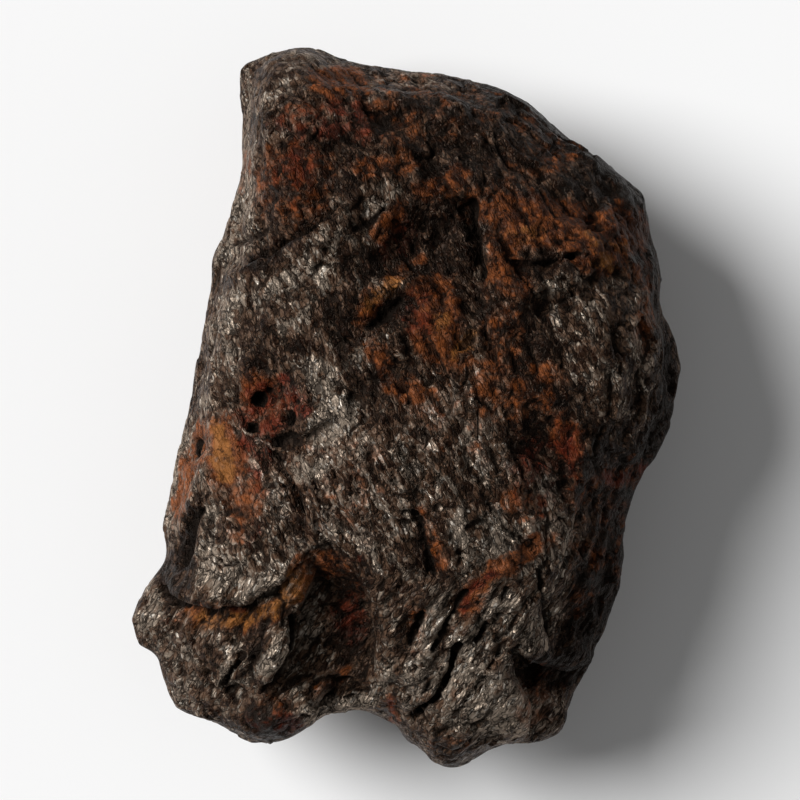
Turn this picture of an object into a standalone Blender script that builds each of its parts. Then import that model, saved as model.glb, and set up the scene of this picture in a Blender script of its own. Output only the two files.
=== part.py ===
"""A weathered iron-rich meteorite: one natural stone, lying on the broken flat of its back.

Run it with: blender --background --python part.py

The stone is one piece, so it is one solid. An icosphere is pressed into the stone's outline, its front
and back are split off along broken slopes, and then ledges, clefts, pits, swells and hollows are
raised on it. Places on the stone are given in picture steps: across to the right and down from the
top left corner of the picture that the outline was traced in. Heights and widths are in millimetres.
"""

import math
from dataclasses import dataclass

import bmesh
import bpy
import numpy as np
from mathutils import Vector, noise

MM = 0.001

# Driving sizes, in metres: the stone's length along +Y, and the height of its waist above the floor.
LENGTH = 110 * MM
WAIST_HEIGHT = 17.2 * MM

# The traced outline is this many picture steps long, and its box is centred here.
PICTURE_LENGTH = 724
PICTURE_MIDDLE = (406.5, 408.0)
STEP_MM = LENGTH / MM / PICTURE_LENGTH

# Every ray from the hub meets the outline once, so the outline is a reach for each direction.
HUB = (410, 415)
RAYS_PER_SIDE = 12

TOP_EDGE = [
    (240, 64), (262, 58), (290, 49), (304, 46), (318, 47), (336, 56), (352, 61), (400, 68),
    (455, 76), (496, 86), (510, 92), (522, 98), (545, 119), (568, 140), (580, 146), (606, 163),
    (632, 186), (642, 192),
]
RIGHT_EDGE = [
    (643, 204), (648, 236), (657, 257), (656, 267), (662, 281), (656, 304), (670, 330), (677, 345),
    (681, 370), (676, 388), (671, 430), (661, 455), (646, 470), (641, 484), (635, 493), (636, 506),
    (628, 512), (622, 540), (625, 553), (621, 577), (624, 587), (614, 600), (603, 632), (594, 643),
    (592, 658), (570, 695),
]
BOTTOM_EDGE = [
    (565, 712), (566, 726), (561, 734), (538, 741), (514, 740), (498, 745), (474, 760), (452, 770),
    (434, 763), (418, 742), (404, 740), (400, 722), (390, 721), (374, 711), (360, 708), (330, 711),
    (310, 722), (297, 733), (272, 740), (252, 741), (216, 722), (178, 708), (171, 697),
]
LEFT_EDGE = [
    (162, 674), (157, 650), (138, 649), (132, 622), (139, 596), (150, 580), (168, 558), (163, 518),
    (174, 468), (186, 422), (196, 370), (204, 330), (212, 283), (211, 256), (222, 236), (231, 214),
    (237, 186), (243, 164), (241, 140), (244, 102), (240, 93),
]

# The blank: how square its edges are in section, how far the sphere is pressed flat, how round the
# corners between slopes are, how thick its thinnest edge is, and how much roughness its waist keeps.
EDGE_SQUARENESS = 3.4
PRESS = 2.1
SPHERE_SUBDIVISIONS = 7
CORNER_ROUNDING_MM = 0.9
EDGE_THICKNESS_MM = 4.5
EDGE_CALM = 0.35

# The finished stone's facets.
FACETS = 9900

STONE_COLOUR = (0.055, 0.036, 0.027, 1.0)
STONE_ROUGHNESS = 0.42
STONE_METALLIC = 0.35

# Each seed moves the noise's middle this far along this way.
SEED_WAY = Vector((1.0, 1.7, 0.6))

# Ridged noise lies between about 0 and 1 and has this mean, which is taken off to keep the size.
RIDGE_MEAN = 0.6

# The front's long ridges: steep to the right over the top and middle, to the left at the foot.
GRAIN_WAVELENGTH_MM = 5.5
GRAIN_STRETCH = 3.0
GRAIN_HEIGHT_MM = 0.75
UPPER_GRAIN = (-64, 3.0)
LOWER_GRAIN = (56, 6.0)
GRAIN_CHANGE_ROWS = (540, 600)

# The sharp chips between the ridges.
CHIP_WAVELENGTH_MM = 4.6
CHIP_HEIGHT_MM = 0.35
CHIP_SEED = 7.0

# Lines and places waver by this much, so that no ledge is drawn straight.
WAVER_MM = 0.35
WAVER_WAVELENGTH_MM = 3.1
WAVER_SEEDS = (5.0, 9.0)

# What is carved on one face fades out between these shares of the way up from the waist.
CARVED_FADE = (0.25, 0.75)
EDGE_CALM_FADE = (0.1, 0.6)

# Each line feature runs out over this share of its length at both ends.
END_TAPER = 0.14

# A pit's wall runs between these shares of its radius.
PIT_WALL = (0.45, 1.25)


@dataclass(frozen=True)
class Lumps:
    """Rounded lumps all over the stone."""

    height: float
    wavelength: float
    seed: float


ALL_LUMPS = [Lumps(0.9, 15.0, 2.0), Lumps(0.5, 6.5, 4.0)]


@dataclass(frozen=True)
class Slope:
    """A broken slope: its height above or below the waist at a place, and its rise in mm per mm."""

    name: str
    place: tuple
    height: float
    rise_right: float
    rise_up: float


@dataclass(frozen=True)
class Swell:
    """A rounded swell, or a hollow where its height is below zero."""

    name: str
    place: tuple
    half_length: float
    half_width: float
    turn: float
    height: float


@dataclass(frozen=True)
class Ledge:
    """A step along a line of places. The high side is on the left hand of who walks along it."""

    name: str
    line: list
    height: float
    edge: float
    reach: float


@dataclass(frozen=True)
class Cleft:
    """A groove along a line of places, or a rib where its depth is below zero."""

    name: str
    line: list
    depth: float
    width: float


@dataclass(frozen=True)
class Pit:
    """A steep round hole."""

    name: str
    place: tuple
    radius: float
    depth: float


FRONT_SLOPES = [
    Slope("crown", (415, 440), 27.0, -0.03, -0.02),
    Slope("left_flank", (230, 470), 20.0, 0.27, 0.0),
    Slope("left_wall", (195, 470), 15.0, 5.0, -0.92),
    Slope("upper_plateau", (300, 160), 24.0, -0.10, -0.10),
    Slope("top_bevel", (400, 80), 13.0, -0.55, -2.6),
    Slope("upper_right_shoulder", (545, 165), 17.5, -0.50, -0.48),
    Slope("right_dome", (590, 330), 22.5, -0.22, 0.05),
    Slope("right_face", (655, 385), 12.0, -2.6, 0.0),
    Slope("right_lower_flank", (590, 560), 14.0, -1.05, 0.42),
    Slope("lower_right_lobe", (480, 700), 19.5, -0.10, 0.22),
    Slope("lower_right_corner", (548, 715), 14.0, -0.95, 0.45),
    Slope("lower_left_lobe", (230, 660), 16.5, 0.20, 0.20),
    Slope("left_foot", (160, 620), 9.5, 1.1, 0.1),
]

BACK_SLOPES = [
    Slope("resting_flat", (420, 420), 18.0, 0.0, 0.0),
    Slope("back_upper_left", (260, 150), 12.0, 0.32, -0.30),
    Slope("back_left", (200, 380), 12.5, 0.75, 0.10),
    Slope("back_lower_left", (210, 620), 11.5, 0.40, 0.34),
    Slope("back_bottom", (450, 710), 10.5, 0.08, 0.62),
    Slope("back_lower_right", (590, 590), 11.0, -0.62, 0.30),
    Slope("back_right", (650, 380), 10.0, -0.95, 0.05),
    Slope("back_upper_right", (600, 180), 10.5, -0.34, -0.52),
]

FRONT_SWELLS = [
    Swell("upper_hollow", (425, 250), 62, 36, 20, -4.0),
    Swell("dark_bowl", (378, 318), 34, 16, 30, -2.2),
    Swell("right_dome_swell", (590, 335), 70, 42, 110, 1.8),
    Swell("right_hollow", (535, 435), 40, 24, 130, -2.0),
    Swell("lower_hollow", (338, 625), 74, 34, 100, -6.0),
    Swell("hollow_floor", (362, 628), 34, 12, 95, -2.0),
    Swell("notch_hollow", (350, 715), 40, 18, 0, -4.0),
    Swell("pitted_bowl", (268, 412), 40, 30, 120, -1.8),
    Swell("left_trough", (232, 475), 55, 17, 105, -1.3),
    Swell("slab_swell", (340, 440), 60, 34, 170, 1.6),
    Swell("lower_left_bulge", (262, 712), 44, 20, 170, 2.4),
    Swell("lip_swell", (270, 650), 48, 16, 45, 2.0),
    Swell("lobe_swell", (480, 695), 52, 40, 40, 1.4),
    Swell("black_notch", (548, 668), 36, 14, 170, -3.6),
    Swell("corner_hollow", (533, 690), 26, 11, 100, -2.2),
    Swell("upper_dip", (445, 140), 60, 26, 150, -1.6),
    Swell("plateau_swell", (290, 190), 46, 30, 100, 1.0),
    Swell("left_foot_hollow", (182, 560), 34, 11, 110, -2.2),
    Swell("left_foot_ridge", (172, 530), 40, 8, 105, 1.6),
    Swell("rib_swell", (452, 530), 34, 13, 95, 1.3),
    Swell("upper_rim_swell", (300, 66), 30, 14, 170, 1.2),
]

BACK_SWELLS = [
    Swell("back_thumbprint_left", (270, 300), 60, 44, 70, -3.0),
    Swell("back_thumbprint_top", (430, 160), 56, 36, 10, -2.6),
    Swell("back_thumbprint_low", (350, 640), 64, 40, 160, -3.4),
    Swell("back_thumbprint_right", (610, 500), 52, 34, 100, -2.6),
    Swell("back_swell_corner", (560, 270), 48, 34, 130, 1.8),
    Swell("back_swell_foot", (230, 520), 44, 30, 60, 1.6),
]

FRONT_LEDGES = [
    Ledge("plateau_ledge", [(352, 204), (334, 220), (312, 240), (296, 249), (270, 262), (246, 268),
                            (226, 278)], 3.0, 0.6, 5.5),
    Ledge("plateau_lip", [(276, 232), (252, 246), (224, 246)], 0.9, 0.6, 2.2),
    Ledge("gully_wall", [(492, 316), (480, 274), (477, 240), (464, 196)], -2.4, 0.9, 6.0),
    Ledge("rust_shelf", [(500, 268), (538, 266), (572, 260), (600, 264)], 1.2, 0.6, 2.6),
    Ledge("dome_crest", [(628, 286), (606, 266), (584, 280), (552, 290), (520, 304), (512, 340)],
          -1.5, 0.6, 5.0),
    Ledge("dome_foot", [(556, 340), (572, 362), (590, 380)], 1.2, 0.6, 4.0),
    Ledge("slab_upper_edge", [(338, 416), (316, 428), (296, 438), (272, 444)], -2.0, 0.6, 3.4),
    Ledge("slab_lower_edge", [(272, 444), (286, 462), (302, 484), (309, 508), (307, 548)],
          2.2, 0.6, 3.6),
    Ledge("lower_shelf", [(322, 552), (300, 560), (280, 580), (258, 597), (232, 603), (208, 605),
                          (182, 600), (160, 584)], -2.8, 0.6, 5.0),
    Ledge("curved_lip", [(316, 560), (298, 588), (291, 612), (297, 634), (284, 662), (262, 684)],
          -3.4, 0.6, 5.0),
    Ledge("lip_rib", [(262, 640), (246, 664), (224, 690)], -1.4, 0.6, 3.0),
    Ledge("hollow_right_rim", [(352, 560), (370, 592), (378, 630), (376, 680)], 2.4, 0.6, 5.0),
    Ledge("notch_rim", [(386, 690), (352, 686), (324, 694), (302, 712)], -1.8, 0.6, 3.0),
    Ledge("lobe_edge", [(508, 642), (518, 672), (528, 700), (524, 738)], -2.0, 0.6, 3.6),
    Ledge("black_notch_roof", [(596, 654), (572, 668), (550, 664), (530, 656), (510, 646)],
          -3.2, 0.6, 4.0),
    Ledge("flake_edge", [(652, 316), (660, 352), (656, 398), (640, 440), (636, 470)], -1.8, 0.6, 4.0),
    Ledge("right_flank_edge", [(566, 470), (576, 510), (560, 560), (548, 610), (552, 650)],
          -1.8, 0.6, 5.0),
    Ledge("centre_step", [(500, 448), (530, 458), (560, 476)], -1.6, 0.6, 4.0),
    Ledge("left_band_step", [(352, 224), (330, 258), (312, 278), (290, 300)], -0.9, 0.6, 3.0),
    Ledge("bevel_edge", [(250, 90), (300, 92), (345, 88), (400, 98), (450, 92)], -0.8, 0.6, 3.0),
    Ledge("left_wall_band", [(208, 420), (204, 470), (186, 500), (168, 520)], 1.0, 0.6, 3.0),
]

FRONT_CLEFTS = [
    Cleft("main_cleft", [(458, 632), (449, 666), (435, 690), (420, 704), (412, 714)], 3.2, 0.95),
    Cleft("middle_cleft", [(414, 512), (423, 544), (433, 574)], 2.2, 0.95),
    Cleft("gully", [(468, 196), (474, 222), (476, 248), (478, 272), (488, 306)], 1.9, 1.2),
    Cleft("slab_upper_cleft", [(304, 432), (286, 438), (273, 446)], 2.2, 0.95),
    Cleft("slab_lower_cleft", [(273, 446), (286, 464), (302, 486), (308, 514)], 2, 0.95),
    Cleft("foot_cleft", [(162, 586), (176, 597), (190, 603), (212, 604)], 2.4, 0.95),
    Cleft("shelf_cleft", [(212, 604), (240, 604), (264, 598)], 1.2, 0.95),
    Cleft("band_cleft_left", [(421, 604), (412, 626), (408, 642)], 2, 0.95),
    Cleft("band_cleft_middle", [(466, 582), (454, 600), (440, 628), (432, 646)], 2.2, 0.95),
    Cleft("band_cleft_right", [(484, 614), (474, 638)], 1.6, 0.95),
    Cleft("notch_cleft", [(414, 650), (416, 664)], 1.6, 0.95),
    Cleft("rust_shelf_cleft", [(534, 266), (556, 264), (574, 259)], 1.6, 0.95),
    Cleft("left_slit", [(200, 438), (198, 456)], 1.4, 0.95),
    Cleft("lobe_cleft", [(508, 640), (514, 664), (524, 690)], 1.6, 0.95),
    Cleft("upper_slit", [(376, 128), (410, 116)], 0.9, 0.95),
    Cleft("crystal_cleft", [(200, 556), (214, 565), (232, 556)], 0.9, 0.95),
    Cleft("right_flank_cleft", [(540, 590), (546, 614), (546, 640)], 1.6, 0.95),
    Cleft("curl_cleft", [(292, 610), (297, 634), (286, 660)], 1.4, 0.95),
]

FRONT_PITS = [
    Pit("pit_upper", (263, 400), 7.5, 2.6),
    Pit("pit_right", (294, 417), 7.0, 2.4),
    Pit("pit_left", (256, 426), 5.5, 1.8),
    Pit("pit_red", (282, 386), 5.0, 0.9),
    Pit("pit_shelf", (211, 606), 6.5, 2.2),
    Pit("pit_dome", (570, 378), 6.0, 1.0),
    Pit("pit_top", (359, 108), 6.0, 1.0),
]


def outline_reach():
    """The outline as directions round the hub and the reach in mm in each of them, by direction."""
    places = TOP_EDGE + RIGHT_EDGE + BOTTOM_EDGE + LEFT_EDGE
    rays = []
    for (x0, y0), (x1, y1) in zip(places, places[1:] + places[:1]):
        for share in np.linspace(0, 1, RAYS_PER_SIDE, endpoint=False):
            across = x0 + (x1 - x0) * share - HUB[0]
            up = HUB[1] - (y0 + (y1 - y0) * share)
            rays.append((math.atan2(up, across), math.hypot(across, up) * STEP_MM))
    rays.sort()
    return np.array(rays).T


def from_place(place):
    """A picture place as mm from the middle of the stone's box."""
    across = (place[0] - PICTURE_MIDDLE[0]) * STEP_MM
    up = (PICTURE_MIDDLE[1] - place[1]) * STEP_MM
    return across, up


def lowest_slope(slopes, x, y):
    """The height of the lowest slope at each point, its corners rounded and its thin edges thickened."""
    total = np.zeros_like(x)
    for slope in slopes:
        x0, y0 = from_place(slope.place)
        height = slope.height + slope.rise_right * (x - x0) + slope.rise_up * (y - y0)
        total += np.exp(-height / CORNER_ROUNDING_MM)
    height = -CORNER_ROUNDING_MM * np.log(total)
    return EDGE_THICKNESS_MM + np.logaddexp(0.0, height - EDGE_THICKNESS_MM)


def smooth_step(low, high, value):
    """0 below low, 1 above high, and smooth between them."""
    share = np.clip((value - low) / (high - low), 0.0, 1.0)
    return share * share * (3 - 2 * share)


def along_line(line, x, y):
    """Each point's distance in mm to a line of places, which side it is on, and its taper to the ends.

    The side is 1 on the left hand and -1 on the right.
    """
    points = np.array([from_place(place) for place in line])
    lengths = np.hypot(*np.diff(points, axis=0).T)
    starts = np.concatenate([[0.0], np.cumsum(lengths)[:-1]])
    best = np.full_like(x, np.inf)
    side = np.zeros_like(x)
    along = np.zeros_like(x)
    for (x0, y0), (x1, y1), length, start in zip(points, points[1:], lengths, starts):
        ux, uy = (x1 - x0) / length, (y1 - y0) / length
        forward = np.clip((x - x0) * ux + (y - y0) * uy, 0.0, length)
        gap = np.hypot(x - x0 - forward * ux, y - y0 - forward * uy)
        nearer = gap < best
        best = np.where(nearer, gap, best)
        side = np.where(nearer, np.sign(ux * (y - y0) - uy * (x - x0)), side)
        along = np.where(nearer, (start + forward) / lengths.sum(), along)
    taper = smooth_step(0.0, END_TAPER, along) * smooth_step(0.0, END_TAPER, 1.0 - along)
    return best, side, taper


def swell_lift(swell, x, y):
    """A swell's height at each point."""
    x0, y0 = from_place(swell.place)
    turn = math.radians(swell.turn)
    long_way = (x - x0) * math.cos(turn) + (y - y0) * math.sin(turn)
    short_way = (y - y0) * math.cos(turn) - (x - x0) * math.sin(turn)
    span = (long_way / (swell.half_length * STEP_MM)) ** 2 + (short_way / (swell.half_width * STEP_MM)) ** 2
    return swell.height * np.exp(-span)


def ledge_lift(ledge, x, y):
    """A ledge's height at each point: up on its high side, down on its low side."""
    gap, side, taper = along_line(ledge.line, x, y)
    step = np.tanh(side * gap / ledge.edge)
    return 0.5 * ledge.height * step * taper * np.exp(-((gap / ledge.reach) ** 2))


def cleft_lift(cleft, x, y):
    """A cleft's depth at each point, below zero."""
    gap, _, taper = along_line(cleft.line, x, y)
    return -cleft.depth * taper * np.exp(-((gap / cleft.width) ** 2))


def pit_lift(pit, x, y):
    """A pit's depth at each point, below zero."""
    x0, y0 = from_place(pit.place)
    gap = np.hypot(x - x0, y - y0) / (pit.radius * STEP_MM)
    return -pit.depth * (1 - smooth_step(*PIT_WALL, gap))


def noise_at(points, wavelength, seed):
    """Smooth noise at each point, from about -1 to 1, for lumps of that wavelength in mm."""
    shift = SEED_WAY * seed
    return np.array([noise.noise(Vector(point) / wavelength + shift) for point in points])


def ridges_at(points, wavelength, seed):
    """Sharp-crested noise at each point, from about 0 in the valleys to 1 on the crests."""
    return 1 - 2 * np.abs(noise_at(points, wavelength, seed))


def grain_at(points, turn, seed):
    """Ridges that run in long lines at an angle, from about 0 in the valleys to 1 on the crests."""
    angle = math.radians(turn)
    along = points[:, 0] * math.cos(angle) + points[:, 1] * math.sin(angle)
    aside = points[:, 1] * math.cos(angle) - points[:, 0] * math.sin(angle)
    stretched = np.stack([along / GRAIN_STRETCH, aside, points[:, 2]], axis=1)
    return ridges_at(stretched, GRAIN_WAVELENGTH_MM, seed)


def blank_points(directions, reach_of):
    """The blank: the sphere's points pressed into the outline and down onto the broken slopes."""
    across, up, out = directions.T
    angle = np.arctan2(up, across)
    reach = np.interp(angle, reach_of[0], reach_of[1], period=2 * math.pi)
    flat = np.hypot(across, up)
    steep = np.abs(out) * PRESS
    size = (flat**EDGE_SQUARENESS + steep**EDGE_SQUARENESS) ** (1 / EDGE_SQUARENESS)
    spread = reach * flat / size
    rise = steep / size
    hub_x, hub_y = from_place(HUB)
    x = hub_x + spread * np.cos(angle)
    y = hub_y + spread * np.sin(angle)
    front = rise * lowest_slope(FRONT_SLOPES, x, y)
    back = -rise * lowest_slope(BACK_SLOPES, x, y)
    z = np.where(out >= 0, front, back)
    return np.stack([x, y, z], axis=1), rise * np.sign(out)


def carved_lift(points, rise):
    """How far each point of the blank moves out along its normal, in mm."""
    x = points[:, 0] + WAVER_MM * noise_at(points, WAVER_WAVELENGTH_MM, WAVER_SEEDS[0])
    y = points[:, 1] + WAVER_MM * noise_at(points, WAVER_WAVELENGTH_MM, WAVER_SEEDS[1])
    front = sum(swell_lift(swell, x, y) for swell in FRONT_SWELLS)
    front += sum(ledge_lift(ledge, x, y) for ledge in FRONT_LEDGES)
    front += sum(cleft_lift(cleft, x, y) for cleft in FRONT_CLEFTS)
    front += sum(pit_lift(pit, x, y) for pit in FRONT_PITS)
    back = sum(swell_lift(swell, x, y) for swell in BACK_SWELLS)
    carved = front * smooth_step(*CARVED_FADE, rise) + back * smooth_step(*CARVED_FADE, -rise)
    row = PICTURE_MIDDLE[1] - points[:, 1] / STEP_MM
    lower = smooth_step(*GRAIN_CHANGE_ROWS, row)
    grain = grain_at(points, *UPPER_GRAIN) * (1 - lower) + grain_at(points, *LOWER_GRAIN) * lower
    chips = ridges_at(points, CHIP_WAVELENGTH_MM, CHIP_SEED)
    rough = GRAIN_HEIGHT_MM * (grain - RIDGE_MEAN) + CHIP_HEIGHT_MM * (chips - RIDGE_MEAN)
    rough += sum(lumps.height * noise_at(points, lumps.wavelength, lumps.seed) for lumps in ALL_LUMPS)
    calm = EDGE_CALM + (1 - EDGE_CALM) * smooth_step(*EDGE_CALM_FADE, np.abs(rise))
    return carved + rough * calm


def stone_mesh():
    """The stone's mesh, fine enough to hold its clefts, with its box centred over the origin."""
    form = bmesh.new()
    bmesh.ops.create_icosphere(form, subdivisions=SPHERE_SUBDIVISIONS, radius=1.0)
    directions = np.array([vertex.co.normalized() for vertex in form.verts])
    points, rise = blank_points(directions, outline_reach())
    for vertex, point in zip(form.verts, points):
        vertex.co = point
    form.normal_update()
    normals = np.array([vertex.normal for vertex in form.verts])
    points += normals * carved_lift(points, rise)[:, None]
    low, high = points.min(axis=0), points.max(axis=0)
    points[:, :2] -= (low[:2] + high[:2]) / 2
    points *= LENGTH / (high[1] - low[1])
    points[:, 2] += WAIST_HEIGHT
    for vertex, point in zip(form.verts, points):
        vertex.co = point
    mesh = bpy.data.meshes.new("meteorite")
    form.to_mesh(mesh)
    form.free()
    return mesh


def stone_material():
    """Dark brown, half-metallic weathered stone."""
    material = bpy.data.materials.new("weathered_iron")
    material.use_nodes = True
    shader = material.node_tree.nodes["Principled BSDF"]
    shader.inputs["Base Color"].default_value = STONE_COLOUR
    shader.inputs["Roughness"].default_value = STONE_ROUGHNESS
    shader.inputs["Metallic"].default_value = STONE_METALLIC
    return material


def add_object(name, mesh):
    """A new object in the scene that shows the mesh."""
    thing = bpy.data.objects.new(name, mesh)
    bpy.context.scene.collection.objects.link(thing)
    return thing


def floor_cutter():
    """A guide box whose top is the floor, which the resting flat is cut on."""
    side = 2 * LENGTH
    form = bmesh.new()
    bmesh.ops.create_cube(form, size=side)
    bmesh.ops.translate(form, verts=form.verts, vec=(0, 0, -side / 2))
    mesh = bpy.data.meshes.new("floor_cutter")
    form.to_mesh(mesh)
    form.free()
    cutter = add_object("floor_cutter", mesh)
    cutter.hide_render = True
    cutter.display_type = "WIRE"
    return cutter


def build():
    """The meteorite, its box centred over the origin and its resting flat at height zero."""
    for thing in list(bpy.data.objects):
        bpy.data.objects.remove(thing)
    mesh = stone_mesh()
    mesh.materials.append(stone_material())
    stone = add_object("meteorite", mesh)
    facets = stone.modifiers.new("facets", "DECIMATE")
    facets.ratio = FACETS / len(mesh.polygons)
    rest = stone.modifiers.new("resting_flat", "BOOLEAN")
    rest.operation = "DIFFERENCE"
    rest.object = floor_cutter()


build()
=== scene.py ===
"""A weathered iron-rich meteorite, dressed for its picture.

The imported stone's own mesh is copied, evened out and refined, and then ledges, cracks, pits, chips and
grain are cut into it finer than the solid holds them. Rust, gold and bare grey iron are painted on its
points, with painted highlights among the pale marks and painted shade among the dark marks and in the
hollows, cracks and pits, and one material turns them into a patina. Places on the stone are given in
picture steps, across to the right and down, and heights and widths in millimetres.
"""

import logging
import math
from dataclasses import dataclass
from enum import Enum

import bmesh
import bpy
import numpy as np
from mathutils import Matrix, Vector, noise


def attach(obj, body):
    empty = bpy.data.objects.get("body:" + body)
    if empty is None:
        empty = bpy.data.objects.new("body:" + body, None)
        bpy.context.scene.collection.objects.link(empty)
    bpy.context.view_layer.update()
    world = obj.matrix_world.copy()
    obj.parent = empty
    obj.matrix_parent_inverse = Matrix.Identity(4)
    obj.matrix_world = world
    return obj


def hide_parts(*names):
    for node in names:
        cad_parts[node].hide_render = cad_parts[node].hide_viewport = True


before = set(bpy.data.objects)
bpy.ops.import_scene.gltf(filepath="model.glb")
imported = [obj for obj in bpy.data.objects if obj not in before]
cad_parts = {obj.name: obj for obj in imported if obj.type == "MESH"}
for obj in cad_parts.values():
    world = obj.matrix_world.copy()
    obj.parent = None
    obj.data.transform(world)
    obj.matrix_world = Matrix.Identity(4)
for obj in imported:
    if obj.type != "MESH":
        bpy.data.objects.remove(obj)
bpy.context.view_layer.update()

NODE = "meteorite"
BODY = "root"
SLOT = "weathered_iron"

MM = 0.001

# The stone's outline is 724 picture steps long and 110 mm in truth, and its box is centred here.
STEP_MM = 110 / 724
PICTURE_MIDDLE = (406.5, 408.0)
PICTURE_SIZE = 800

# Height of the stone's waist above the floor, in mm: the front is above it and the back below.
WAIST_MM = 17.2

# Each seed moves the noise's middle this far along this way.
SEED_WAY = Vector((1.0, 1.7, 0.6))

# A line fades in and out over this share of it at each end.
LINE_TAPER = 0.12

# The floor side stays as the solid has it up to the first of these heights, and is free from the second.
RESTING_MM = (0.2, 2.5)

# How deep a point lies below the smoothed surface, where the material paints shade: rounds of smoothing, and
# the depth in mm that is 1.
HOLLOWS = {"hollow": (6, 0.25), "deep": (60, 1.6)}

Spot = tuple[float, float]
Span = tuple[float, float]
Line = list[Spot]

log = logging.getLogger("meteorite")


class Tint(Enum):
    """What is painted on the stone's points, by the name of its attribute."""

    RUST = "rust"
    GOLD = "gold"
    RED = "red"
    # Pale is grey iron and also painted highlights, and dark is dark patina and also painted shade.
    PALE = "pale"
    DARK = "dark"
    SMOOTH = "smooth"


@dataclass(frozen=True)
class Patch:
    """A painted oval: its middle, half sizes in picture steps, turn in degrees and strength."""

    place: Spot
    half_length: float
    half_width: float
    turn: float
    strength: float


@dataclass(frozen=True)
class Streak:
    """A painted line: its places, half width in picture steps and strength."""

    line: Line
    half_width: float
    strength: float


@dataclass(frozen=True)
class Ledge:
    """A step along a line. The high side is on the left hand of who walks along it."""

    line: Line
    height: float
    edge: float
    reach: float


@dataclass(frozen=True)
class Crack:
    """A narrow groove along a line, or a rib where its depth is below zero."""

    line: Line
    depth: float
    width: float


@dataclass(frozen=True)
class Pit:
    """A steep round hole: radius in picture steps and depth in mm."""

    place: Spot
    radius: float
    depth: float


@dataclass(frozen=True)
class Chips:
    """Broken flats all over: size along and across, tilted height, groove between them and seed."""

    along: float
    across: float
    height: float
    groove: float
    seed: float


@dataclass(frozen=True)
class Wander:
    """How far marks stray from where they are drawn, in mm, over which wavelength, and the seeds."""

    reach: float
    wavelength: float
    seeds: Span


def patches(*rows: tuple[float, ...]) -> list[Patch]:
    """Ovals from rows of across, down, half length, half width, turn and strength."""
    return [Patch((across, down), *rest) for across, down, *rest in rows]


# Lines waver as the solid's do, and paint strays further.
LINE_WANDER = [Wander(0.35, 3.1, (5.0, 9.0))]
PAINT_WANDER = [Wander(1.3, 7.0, (11.0, 12.0)), Wander(0.7, 2.2, (13.0, 14.0))]

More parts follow.
